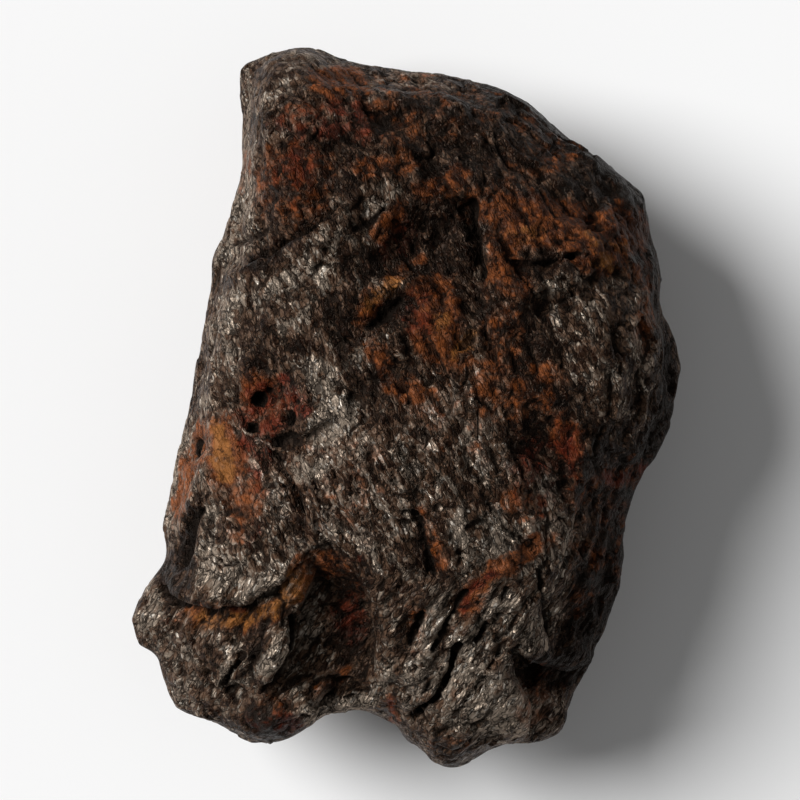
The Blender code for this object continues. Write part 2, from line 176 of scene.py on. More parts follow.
PAINT: dict[Tint, list[Patch | Streak]] = {
    Tint.RUST: [
        *patches(
            (340, 88, 32, 18, 0, 1.05), (400, 112, 130, 44, 6, 0.35), (540, 160, 90, 30, 38, 0.38),
            (470, 400, 90, 60, 0, 0.36), (600, 540, 70, 40, 80, 0.4), (340, 480, 60, 60, 0, 0.3),
            (308, 120, 30, 16, 10, 0.6), (300, 192, 50, 40, 60, 0.6), (298, 160, 32, 20, 0, 0.55),
            (385, 172, 44, 14, 10, 0.6), (442, 190, 34, 17, 10, 0.85), (545, 228, 86, 30, -6, 1.25),
            (625, 232, 32, 22, -50, 1.1), (592, 262, 42, 14, 5, 1.1), (505, 235, 20, 40, 0, 0.9),
            (640, 275, 20, 16, -70, 0.7), (508, 283, 22, 28, 0, 0.75), (402, 272, 24, 10, 40, 0.65),
            (434, 320, 30, 44, 10, 1.25), (366, 314, 22, 14, 70, 0.8), (445, 352, 36, 20, -30, 0.8),
            (408, 392, 18, 20, 0, 0.9), (500, 345, 46, 24, 90, 0.6), (528, 385, 38, 34, 0, 0.6),
            (562, 438, 28, 22, -60, 1.1), (618, 474, 34, 20, 20, 0.75), (575, 490, 24, 18, 60, 0.5),
            (500, 415, 40, 22, 0, 0.4), (440, 400, 40, 24, -20, 0.35), (270, 400, 38, 28, -60, 0.75),
            (230, 452, 46, 26, 100, 1.0), (250, 500, 30, 20, 60, 0.75), (238, 528, 12, 10, 0, 0.5),
            (520, 498, 26, 24, 0, 0.6), (350, 592, 30, 22, 90, 0.5), (577, 600, 24, 15, 80, 0.5),
            (540, 690, 36, 28, 70, 0.5), (270, 702, 26, 16, 10, 0.45), (450, 738, 24, 10, 0, 0.4),
            (392, 702, 16, 10, 90, 0.75), (640, 330, 30, 14, 90, 0.55), (530, 130, 24, 16, -30, 0.45),
            (430, 120, 34, 12, 0, 0.35),
        ),
        Streak([(402, 212), (388, 226), (372, 240)], 12, 0.8),
        Streak([(372, 345), (388, 380), (408, 402)], 13, 0.85),
        Streak([(205, 420), (190, 470), (176, 520)], 11, 0.85),
        Streak([(548, 532), (520, 550), (492, 566), (470, 590), (452, 612)], 13, 1.0),
        Streak([(416, 500), (432, 540), (444, 575)], 10, 0.6),
        Streak([(422, 595), (416, 630), (424, 655)], 14, 0.6),
        Streak([(182, 618), (210, 612), (250, 614), (290, 592), (310, 562), (350, 556)], 15, 0.8),
        Streak([(312, 690), (335, 668), (358, 655)], 10, 0.4),
        Streak([(246, 150), (243, 195)], 6, 0.5),
    ],
    Tint.GOLD: [
        *patches(
            (227, 452, 36, 13, 100, 1.0), (429, 318, 22, 14, -20, 0.6), (600, 246, 34, 12, -20, 0.35),
            (520, 240, 30, 12, 0, 0.3),
        ),
        Streak([(196, 619), (222, 614), (252, 612), (286, 594), (303, 566)], 11, 1.0),
        Streak([(582, 271), (600, 262), (618, 268)], 6, 0.9),
        Streak([(478, 330), (470, 348), (452, 356)], 8, 0.7),
        Streak([(360, 316), (374, 300), (396, 284)], 8, 0.55),
    ],
    Tint.RED: [
        *patches(
            (287, 388, 8, 13, 0, 1.0), (308, 407, 9, 9, 0, 0.9), (254, 430, 36, 6, 92, 0.6),
            (276, 408, 38, 30, 20, 0.6), (262, 470, 18, 34, 0, 0.45), (254, 528, 16, 10, 60, 0.4),
            (562, 440, 22, 12, 80, 0.6), (612, 474, 20, 12, 0, 0.5), (640, 467, 7, 9, 0, 0.6),
            (242, 604, 11, 5, 0, 0.7), (172, 622, 7, 7, 0, 0.6), (392, 704, 12, 7, 90, 0.7),
            (330, 130, 60, 30, 0, 0.42), (395, 250, 40, 20, 60, 0.3), (350, 610, 26, 40, 0, 0.42),
            (300, 180, 40, 30, 60, 0.35), (545, 460, 60, 40, 80, 0.4), (416, 318, 20, 26, 0, 0.5),
            (280, 715, 40, 16, 0, 0.45), (356, 552, 9, 7, 0, 0.6),
        ),
        Streak([(455, 606), (475, 583), (498, 566)], 6, 0.7),
    ],
    # Pale marks: grey iron, and also painted highlights: a painted sheen on the left wall, and painted light
    # on rims and slopes that the lamps leave in shade, as along the bottom rim and beside the lower hollow.
    Tint.PALE: [
        *patches(
            (250, 140, 60, 8, 90, 0.5), (272, 84, 30, 26, 0, 0.15), (242, 205, 40, 12, 78, 0.9),
            (270, 101, 10, 8, 0, 0.8), (405, 83, 70, 9, -4, 0.4), (232, 232, 36, 20, 60, 0.6),
            (232, 300, 56, 20, 84, 0.55), (222, 385, 40, 20, 82, 0.25), (208, 445, 50, 26, 80, 0.5),
            (184, 475, 66, 15, 80, 0.9), (305, 562, 30, 14, 40, 0.55), (440, 652, 34, 18, 70, 0.95),
            (530, 540, 68, 44, 0, 0.6), (480, 560, 40, 24, 0, 0.5), (505, 700, 56, 36, 0, 0.9),
            (230, 640, 70, 50, 0, 0.3), (310, 640, 40, 14, 60, 0.4), (300, 264, 64, 24, 35, 0.6),
            (325, 282, 13, 12, 0, 0.3), (380, 200, 25, 13, 20, 0.6), (318, 375, 21, 18, 0, 0.6),
            (333, 420, 30, 20, 60, 1.5), (316, 465, 18, 16, 0, 1.0), (352, 445, 36, 28, 0, 0.35),
            (250, 445, 40, 22, 80, 0.5), (302, 592, 50, 15, 90, 0.55), (296, 655, 40, 18, 60, 0.4),
            (370, 510, 64, 40, 10, 0.45), (440, 440, 60, 50, 0, 0.3), (455, 525, 23, 9, 85, 0.9),
            (484, 520, 20, 10, 80, 0.4), (546, 495, 32, 16, 95, 0.6), (585, 310, 34, 20, 100, 0.5),
            (572, 350, 45, 28, 80, 0.3), (275, 495, 30, 22, 0, 0.45), (216, 552, 15, 13, 0, 1.2),
            (208, 505, 12, 26, 70, 0.5), (222, 576, 25, 14, 10, 0.8), (230, 556, 24, 13, 20, 0.7),
            (258, 574, 46, 22, 10, 0.7), (150, 606, 42, 16, 85, 0.7), (190, 628, 30, 14, 0, 0.3),
            (280, 648, 32, 11, 58, 1.0), (232, 662, 24, 8, 62, 0.9), (188, 680, 25, 20, 60, 0.5),
            (338, 702, 44, 16, 10, 1.4), (302, 582, 24, 14, 60, 1.4), (296, 566, 16, 10, 30, 1.2),
            (478, 440, 40, 18, 60, 0.45), (490, 720, 34, 14, 0, 0.9), (500, 550, 22, 30, 0, 0.7),
            (500, 446, 16, 24, 0, 0.4), (300, 322, 20, 14, 0, 0.5), (345, 212, 14, 16, 0, 0.6),
            (560, 292, 26, 12, 0, 0.75), (636, 342, 12, 36, 0, 0.6), (330, 122, 26, 12, 0, 0.4),
            (440, 665, 12, 26, 0, 1.2), (238, 160, 10, 30, 0, 0.6), (432, 625, 40, 20, 70, 0.9),
            (458, 655, 34, 14, 60, 0.8), (490, 610, 34, 22, 60, 0.8), (225, 350, 24, 40, 0, 0.45),
            (210, 380, 14, 40, 0, 0.55), (375, 205, 22, 14, 60, 0.8), (290, 130, 36, 12, 40, 0.35),
            (378, 108, 22, 8, 10, 0.7), (600, 400, 40, 20, 90, 0.5), (556, 290, 30, 10, 10, 0.55),
            (545, 610, 24, 14, 70, 0.5), (385, 675, 20, 12, 90, 0.7), (415, 672, 40, 15, 80, 0.6),
            (475, 690, 48, 42, 0, 0.75), (485, 676, 20, 12, 0, 0.9), (525, 625, 30, 28, 0, 0.45),
            (485, 600, 24, 20, 60, 0.35), (575, 555, 30, 10, 70, 0.35),
        ),
        Streak([(476, 335), (462, 380), (450, 430)], 18, 0.35),
    ],
    # Dark marks: dark patina, and also painted shade on the right flank and the upper right, which face away
    # from the key light, along the top right edge and in the fissures under the ledges.
    Tint.DARK: [
        *patches(
            (330, 170, 74, 52, 10, 0.45), (430, 130, 80, 40, -5, 0.55), (432, 240, 62, 42, 90, 0.55),
            (470, 235, 36, 9, 92, 1.0), (372, 270, 28, 18, 0, 0.5), (392, 302, 15, 14, 0, 0.9),
            (376, 320, 20, 14, 0, 0.7), (380, 375, 13, 12, 0, 0.7), (500, 140, 64, 44, -10, 0.45),
            (565, 172, 74, 24, -38, 0.5), (608, 240, 30, 14, 80, 0.4), (560, 219, 40, 6, 0, 0.55),
            (530, 370, 60, 30, 90, 0.5), (540, 430, 50, 40, 0, 0.45), (595, 470, 60, 40, 80, 0.55),
            (606, 580, 125, 38, 82, 0.95), (668, 385, 75, 12, 90, 1.0), (648, 450, 54, 16, 75, 1.1),
            (192, 548, 34, 10, 70, 1.0), (214, 650, 14, 12, 0, 0.9), (250, 612, 20, 6, 0, 0.3),
            (203, 430, 40, 7, 80, 0.3), (390, 312, 26, 15, 40, 1.2), (412, 296, 14, 12, 0, 0.9),
            (200, 378, 40, 8, 80, 0.6), (238, 598, 16, 8, 0, 0.5), (300, 252, 14, 10, 0, 0.5),
            (350, 332, 22, 14, 30, 0.5), (388, 530, 14, 22, 0, 0.5), (268, 130, 16, 12, 0, 0.4),
            (548, 405, 24, 20, 0, 0.6), (440, 140, 20, 30, 0, 0.6), (500, 360, 60, 40, 60, 0.25),
            (180, 585, 24, 10, 40, 0.6), (142, 600, 12, 10, 0, 0.5), (262, 632, 16, 12, 60, 0.8),
            (622, 505, 64, 18, 80, 1.3), (510, 395, 26, 14, 0, 0.6), (375, 78, 30, 8, 0, 0.5),
            (280, 265, 40, 10, 35, 0.35), (440, 455, 22, 12, 60, 0.5), (200, 670, 10, 8, 0, 0.4),
            (196, 568, 12, 20, 0, 0.7), (455, 112, 44, 20, 0, 0.45), (205, 385, 34, 9, 80, 0.5),
            (480, 150, 40, 24, 0, 0.4), (300, 245, 22, 9, 35, 0.6), (345, 300, 34, 14, 30, 0.5),
            (430, 150, 30, 18, 60, 0.5), (556, 664, 46, 28, 20, 1.0), (342, 558, 26, 12, 0, 0.5),
            (352, 612, 44, 20, 90, 0.8), (272, 716, 34, 20, 0, 0.85), (421, 542, 30, 9, -68, 0.9),
            (264, 614, 26, 14, 10, 0.5), (194, 520, 34, 14, 70, 0.8), (188, 556, 16, 12, 60, 0.8),
            (515, 92, 32, 12, -35, 0.8), (520, 230, 210, 120, -55, 0.3), (275, 78, 26, 18, 0, 0.35),
            (232, 282, 20, 8, 40, 0.8), (450, 172, 40, 20, 0, 0.7), (485, 292, 20, 12, 90, 0.5),
            (600, 170, 50, 14, -45, 0.5), (172, 575, 16, 14, 0, 0.7), (208, 604, 13, 6, 0, 0.8),
            (265, 376, 18, 14, 0, 0.6), (270, 442, 17, 12, 0, 0.6), (306, 498, 25, 8, 95, 0.7),
            (540, 570, 30, 14, 60, 0.4), (263, 332, 22, 14, 0, 0.4), (512, 518, 12, 16, 0, 0.5),
            (325, 425, 8, 14, 0, 0.4),
        ),
        Streak([(228, 279), (262, 262), (292, 248), (325, 222), (352, 204)], 9, 0.9),
        Streak([(470, 84), (510, 96), (560, 118), (612, 172), (640, 230), (655, 300)], 20, 1.3),
        Streak([(450, 612), (440, 640), (424, 700)], 4, 0.5),
    ],
    Tint.SMOOTH: [
        *patches(
            (229, 468, 48, 18, 100, 0.7), (292, 72, 46, 24, 0, 0.6), (262, 714, 44, 22, -10, 0.5),
            (325, 282, 14, 12, 0, 0.3), (245, 532, 20, 15, 0, 0.4), (453, 528, 22, 10, 95, 0.4),
        ),
    ],
}

# Rims and slabs that stand straight up towards the camera. Their strengths are heights in mm.
RISES: list[Patch] = patches(
    (340, 706, 48, 15, 6, 2.6), (300, 580, 24, 11, 60, 1.6), (277, 650, 36, 9, 58, 0.9),
    (150, 604, 36, 13, 85, 1.0), (230, 556, 34, 14, 15, 0.5),
)

# How much of each tint is strewn over the back, which the picture doesn't show.
BACK_SHARE: dict[Tint, float] = {
    Tint.RUST: 0.8,
    Tint.GOLD: 0.35,
    Tint.RED: 0.4,
    Tint.PALE: 0.7,
    Tint.DARK: 0.7,
    Tint.SMOOTH: 0.25,
}

LEDGES: list[Ledge] = [
    Ledge([(352, 204), (334, 220), (312, 240), (296, 249), (270, 262), (246, 268), (226, 278)],
          1.8, 0.22, 3.0),
    Ledge([(276, 232), (252, 246), (224, 246)], 0.7, 0.2, 1.6),
    Ledge([(492, 316), (480, 274), (477, 240), (464, 196)], -1.4, 0.22, 3.0),
    Ledge([(500, 268), (538, 266), (572, 260), (600, 264)], 1.1, 0.2, 2.0),
    Ledge([(628, 286), (606, 266), (584, 280), (552, 290), (520, 304), (512, 340)], -0.6, 0.2, 2.6),
    Ledge([(338, 416), (316, 428), (296, 438), (272, 444)], -1.4, 0.2, 2.2),
    Ledge([(272, 444), (286, 462), (302, 484), (309, 508), (307, 548)], 1.4, 0.2, 2.2),
    Ledge([(322, 552), (300, 560), (280, 580), (258, 597), (232, 603), (208, 605), (182, 600),
           (160, 584)], -1.55, 0.22, 2.4),
    Ledge([(322, 560), (308, 588), (300, 612), (301, 636), (287, 662), (264, 684)], -1.8, 0.22, 3.0),
    Ledge([(262, 640), (246, 664), (224, 690)], -1.25, 0.22, 2.0),
    Ledge([(245, 640), (236, 664), (220, 686)], -0.85, 0.2, 1.5),
    Ledge([(352, 560), (370, 592), (378, 630), (376, 680)], 1.4, 0.25, 2.6),
    Ledge([(386, 690), (352, 686), (324, 694), (302, 712)], -1.25, 0.22, 2.2),
    Ledge([(508, 642), (518, 672), (528, 700), (524, 738)], -1.4, 0.22, 2.4),
    Ledge([(596, 654), (572, 668), (550, 664), (530, 656), (510, 646)], -1.95, 0.22, 3.0),
    Ledge([(652, 316), (660, 352), (656, 398), (640, 440), (636, 470)], -1.25, 0.22, 2.4),
    Ledge([(500, 448), (530, 458), (560, 476)], -1.1, 0.22, 2.2),
    Ledge([(385, 205), (372, 225), (350, 235)], 1, 0.2, 1.6),
    Ledge([(470, 330), (474, 346), (452, 352)], 0.85, 0.2, 1.6),
    Ledge([(440, 512), (448, 535), (462, 552)], -0.85, 0.2, 1.5),
    Ledge([(222, 516), (246, 514), (264, 530), (252, 549)], -0.7, 0.2, 1.4),
    Ledge([(402, 378), (412, 400), (404, 420)], 0.85, 0.2, 1.6),
    Ledge([(530, 340), (548, 372), (562, 402)], 0.85, 0.22, 1.8),
    Ledge([(592, 300), (606, 338), (612, 380)], -1, 0.22, 1.8),
    Ledge([(300, 150), (322, 190), (330, 205)], 0.7, 0.22, 1.8),
]

CRACKS: list[Crack] = [
    Crack([(300, 708), (322, 696), (352, 690), (388, 694)], -0.9, 1.3),
    Crack([(228, 277), (262, 262), (292, 247), (325, 222), (350, 205)], 1.6, 0.55),
    Crack([(352, 236), (372, 228), (388, 212)], 1.4, 0.5),
    Crack([(364, 332), (384, 318), (404, 298)], 1.5, 0.8),
    Crack([(470, 200), (474, 240), (482, 288)], 2.2, 0.8),
    Crack([(458, 632), (449, 666), (435, 690), (420, 704), (410, 720)], 1.3, 0.36),
    Crack([(416, 505), (422, 538), (434, 572)], 1.0, 0.28),
    Crack([(304, 432), (286, 438), (273, 446)], 1.2, 0.4),
    Crack([(273, 446), (286, 464), (302, 486), (308, 514)], 1.1, 0.35),
    Crack([(161, 584), (172, 594), (186, 602), (212, 605)], 2.1, 0.5),
    Crack([(212, 604), (240, 604), (264, 598)], 0.7, 0.35),
    Crack([(421, 604), (412, 626), (408, 642)], 1.0, 0.35),
    Crack([(466, 582), (454, 600), (440, 628), (432, 646)], 1.0, 0.35),
    Crack([(484, 614), (474, 638)], 1.0, 0.4),
    Crack([(414, 646), (416, 664)], 0.9, 0.35),
    Crack([(528, 268), (556, 264), (580, 259)], 1.3, 0.36),
    Crack([(200, 438), (198, 456)], 1.1, 0.5),
    Crack([(508, 640), (514, 664), (524, 690)], 0.9, 0.35),
    Crack([(202, 556), (216, 549), (228, 562), (246, 556)], 0.7, 0.25),
    Crack([(216, 549), (214, 533), (204, 524)], 0.7, 0.25),
    Crack([(225, 246), (250, 240), (272, 236)], 0.5, 0.3),
    Crack([(330, 262), (312, 285), (285, 300)], 0.5, 0.3),
    Crack([(535, 560), (540, 590), (548, 640)], 0.7, 0.35),
    Crack([(525, 545), (533, 530)], 0.7, 0.3),
    Crack([(500, 595), (505, 580)], 0.7, 0.3),
    Crack([(250, 645), (235, 665), (225, 685)], 0.8, 0.35),
    Crack([(268, 618), (262, 640), (248, 658)], 0.8, 0.4),
    Crack([(206, 500), (196, 520), (190, 548), (182, 566)], 1.4, 0.7),
    Crack([(293, 606), (296, 634), (287, 656), (276, 674)], 1.7, 0.5),
    Crack([(376, 128), (392, 121), (410, 116)], 0.6, 0.4),
    Crack([(214, 300), (218, 330), (210, 360)], 0.5, 0.35),
    Crack([(340, 340), (352, 372), (372, 398)], 0.5, 0.35),
    Crack([(498, 330), (508, 362), (520, 400)], 0.6, 0.35),
    Crack([(600, 420), (590, 448), (594, 480)], 0.6, 0.35),
]

PITS: list[Pit] = [
    Pit((263, 400), 7.5, 1.8),
    Pit((294, 417), 7.0, 1.8),
    Pit((256, 426), 6.0, 1.5),
    Pit((285, 388), 4.0, 0.6),
    Pit((272, 392), 3.5, 0.6),
    Pit((302, 402), 3.5, 0.6),
    Pit((211, 606), 6.5, 1.8),
    Pit((316, 88), 3.5, 0.4),
    Pit((347, 102), 3.0, 0.4),
    Pit((372, 92), 3.0, 0.3),
    Pit((620, 458), 5.0, 0.7),
    Pit((582, 432), 4.0, 0.5),
]

# The grain's angle from +X in degrees over the top and middle, at the foot below these rows, and in a band.
UPPER_TURN = -64.0
LOWER_TURN = 56.0
BAND_TURN = 36.0
LOWER_ROWS = (540.0, 600.0)
BAND = Patch((290, 275), 78, 56, 35, 1.0)

CHIPS: dict[float, list[Chips]] = {
    UPPER_TURN: [Chips(9.0, 4.4, 0.85, 0.1, 3.0), Chips(3.4, 1.8, 0.42, 0.1, 8.0)],
    LOWER_TURN: [Chips(8.0, 4.4, 0.95, 0.1, 4.0), Chips(3.2, 1.8, 0.44, 0.1, 9.0)],
    BAND_TURN: [Chips(7.0, 3.6, 0.7, 0.1, 5.0), Chips(3.0, 1.7, 0.4, 0.1, 7.0)],
}

# A groove between chips is this many times steeper than the chips are apart.
GROOVE_STEEPNESS = 6

# Steps: how long they are against their width, how many there are to a swell, how much finer and weaker
# their ragged edge is, and between which shares of a step its riser stands.
STEP_WAVELENGTH_MM = 9.0
STEP_STRETCH = 1.7
STEP_LEVELS = 2.6
STEP_SEED = 31.0
STEP_HEIGHT_MM = 0.7
STEP_EDGE_FINER = 4
STEP_EDGE_SHARE = 0.35
STEP_RISER = (0.38, 0.62)

# Seams: how long they are against their spacing, and where they break off.
SEAM_WAVELENGTH_MM = 5.0
SEAM_STRETCH = 2.2
SEAM_GAP_MM = 9.0
SEAM_THERE = (-0.1, 0.25)
SEAM_SEED = 21.0
SEAM_DEPTH_MM = 0.55
SEAM_WIDTH = 0.05


def smooth_step(low: float, high: float, value: np.ndarray) -> np.ndarray:
    """A smooth rise of the values from 0 at low to 1 at high."""
    share = np.clip((value - low) / (high - low), 0.0, 1.0)
    return share * share * (3 - 2 * share)


def from_place(place: Spot) -> Spot:
    """A picture place as mm from the middle of the stone, along X and Y."""
    return (place[0] - PICTURE_MIDDLE[0]) * STEP_MM, (PICTURE_MIDDLE[1] - place[1]) * STEP_MM


def row_of(y: np.ndarray) -> np.ndarray:
    """The picture rows that heights up the picture, in mm, lie at."""
    return PICTURE_MIDDLE[1] - y / STEP_MM


def noise_at(points: np.ndarray, wavelength: float, seed: float) -> np.ndarray:
    """Smooth noise of about -1 to 1 at each point, with lumps of the wavelength, all in mm."""
    shift = SEED_WAY * seed
    return np.array([noise.noise(Vector(point) / wavelength + shift) for point in points])


def strayed(points: np.ndarray, wanders: list[Wander]) -> tuple[np.ndarray, np.ndarray]:
    """Where the points stand for what is drawn on them.

    Args:
        points: Places in mm.
        wanders: How far that strays.

    Returns:
        Places along X and along Y, in mm.
    """
    x, y = points[:, 0].copy(), points[:, 1].copy()
    for wander in wanders:
        x += wander.reach * noise_at(points, wander.wavelength, wander.seeds[0])
        y += wander.reach * noise_at(points, wander.wavelength, wander.seeds[1])
    return x, y


def turned(points: np.ndarray, turn: float) -> np.ndarray:
    """Points seen along a direction of the grain.

    Args:
        points: Places in mm.
        turn: The grain's angle from +X in degrees.

    Returns:
        Places along the grain, across it and up.
    """
    cos, sin = math.cos(math.radians(turn)), math.sin(math.radians(turn))
    x, y, z = points.T
    return np.stack([x * cos + y * sin, y * cos - x * sin, z], axis=1)


def chips_at(points: np.ndarray, chips: Chips, turn: float) -> np.ndarray:
    """Broken flats, each tilted its own way, with a groove between neighbours.

    Args:
        points: Places in mm.
        chips: Their sizes.
        turn: The grain's angle from +X in degrees.

    Returns:
        Height in mm for each point.
    """
    cells = turned(points, turn) / (chips.along, chips.across, chips.across) + chips.seed
    heights = np.zeros(len(points))
    for index, cell in enumerate(cells):
        spot = Vector(cell)
        gaps, middles = noise.voronoi(spot)
        tilt = noise.cell_vector(middles[0]) - Vector((0.5, 0.5, 0.5))
        inside = min(1.0, (gaps[1] - gaps[0]) * GROOVE_STEEPNESS)
        heights[index] = 2 * chips.height * tilt.dot(spot - middles[0])
        heights[index] -= chips.groove * (1 - inside) ** 2
    return heights


def seams_at(points: np.ndarray, turn: float) -> np.ndarray:
    """Long dark seams that wander along the grain.

    Args:
        points: Places in mm.
        turn: The grain's angle from +X in degrees.

    Returns:
        Height in mm for each point, 0 or below.
    """
    drawn_out = turned(points, turn) / (SEAM_STRETCH, 1.0, 1.0)
    off = np.abs(noise_at(drawn_out, SEAM_WAVELENGTH_MM, SEAM_SEED))
    there = smooth_step(*SEAM_THERE, noise_at(points, SEAM_GAP_MM, SEAM_SEED))
    return -SEAM_DEPTH_MM * np.exp(-((off / SEAM_WIDTH) ** 2)) * there


def steps_at(points: np.ndarray, turn: float) -> np.ndarray:
    """Broken steps that run along the grain, as where layers have split away.

    Args:
        points: Places in mm.
        turn: The grain's angle from +X in degrees.

    Returns:
        Height in mm for each point.
    """
    drawn_out = turned(points, turn) / (STEP_STRETCH, 1.0, 1.0)
    level = noise_at(drawn_out, STEP_WAVELENGTH_MM, STEP_SEED) * STEP_LEVELS
    level += STEP_EDGE_SHARE * noise_at(drawn_out, STEP_WAVELENGTH_MM / STEP_EDGE_FINER, STEP_SEED)
    return STEP_HEIGHT_MM * (np.floor(level) + smooth_step(*STEP_RISER, level % 1.0) - level)


def along_line(line: Line, x: np.ndarray, y: np.ndarray) -> tuple[np.ndarray, np.ndarray, np.ndarray]:
    """How points lie to a line.

    Args:
        line: The line's places.
        x: The points' places in mm.
        y: The same up the picture.

    Returns:
        The distance in mm, the side (1 on the left hand) and the share left by the ends' taper.
    """
    spots = np.array([from_place(place) for place in line])
    lengths = np.hypot(*np.diff(spots, axis=0).T)
    starts = np.concatenate([[0.0], np.cumsum(lengths)[:-1]])
    best, side, along = np.full_like(x, np.inf), np.zeros_like(x), np.zeros_like(x)
    for (x0, y0), (x1, y1), length, start in zip(spots, spots[1:], lengths, starts):
        ux, uy = (x1 - x0) / length, (y1 - y0) / length
        forward = np.clip((x - x0) * ux + (y - y0) * uy, 0.0, length)
        gap = np.hypot(x - x0 - forward * ux, y - y0 - forward * uy)
        nearer = gap < best
        best = np.where(nearer, gap, best)
        side = np.where(nearer, np.sign(ux * (y - y0) - uy * (x - x0)), side)
        along = np.where(nearer, (start + forward) / lengths.sum(), along)
    taper = smooth_step(0.0, LINE_TAPER, along) * smooth_step(0.0, LINE_TAPER, 1.0 - along)
    return best, side, taper


@dataclass
class Skin:
    """The stone's surface as arrays, in mm: places, outward directions and edges."""

    mesh: bpy.types.Mesh

    def __post_init__(self) -> None:
        """Reads the mesh."""
        self.read()
        edges = np.empty(len(self.mesh.edges) * 2, dtype=np.int64)
        self.mesh.edges.foreach_get("vertices", edges)
        self.edges = edges.reshape(-1, 2)
        self.links = np.bincount(self.edges.ravel(), minlength=len(self.points)).astype(float)

    def read(self) -> None:
        """Reads the points and their outward directions from the mesh."""
        count = len(self.mesh.vertices)
        flat = np.empty(count * 3)
        self.mesh.vertices.foreach_get("co", flat)
        self.points = flat.reshape(-1, 3) / MM
        flat = np.empty(count * 3)
        self.mesh.vertices.foreach_get("normal", flat)
        self.outward = flat.reshape(-1, 3)

    def move(self, shift: np.ndarray) -> None:
        """Moves the points and writes them back.

        Args:
            shift: Millimetres for each point, one row each.
        """
        self.mesh.vertices.foreach_set("co", ((self.points + shift) * MM).ravel())
        self.mesh.update()
        self.read()

    def lift(self, heights: np.ndarray) -> None:
        """Moves each point outward by so many mm, but less the nearer it is to the floor."""
        shift = self.outward * heights[:, None]
        self.move(shift * smooth_step(*RESTING_MM, self.points[:, 2])[:, None])

    def neighbour_mean(self, values: np.ndarray) -> np.ndarray:
        """The mean over each point's neighbours.

        Args:
            values: One row a point.

        Returns:
            The means, in the same shape.
        """
        total = np.zeros_like(values)
        for column in range(values.shape[1]):
            one_way = np.bincount(self.edges[:, 0], values[self.edges[:, 1], column], len(values))
            other = np.bincount(self.edges[:, 1], values[self.edges[:, 0], column], len(values))
            total[:, column] = (one_way + other) / self.links
        return total

    def hollowness(self, rounds: int, full: float) -> np.ndarray:
        """How deep each point lies below the smoothed surface.

        Args:
            rounds: How often the surface is smoothed.
            full: The depth in mm that counts as 1.

        Returns:
            1 in hollows, -1 on crests and 0 on flats.
        """
        smoothed = self.points
        for _ in range(rounds):
            smoothed = 0.5 * (smoothed + self.neighbour_mean(smoothed))
        depth = ((smoothed - self.points) * self.outward).sum(axis=1)
        return np.clip(depth / full, -1.0, 1.0)

    def paint(self, name: str, values: np.ndarray) -> None:
        """Stores one value on each point under that name."""
        layer = self.mesh.attributes.new(name, "FLOAT", "POINT")
        layer.data.foreach_set("value", values.astype(np.float32))


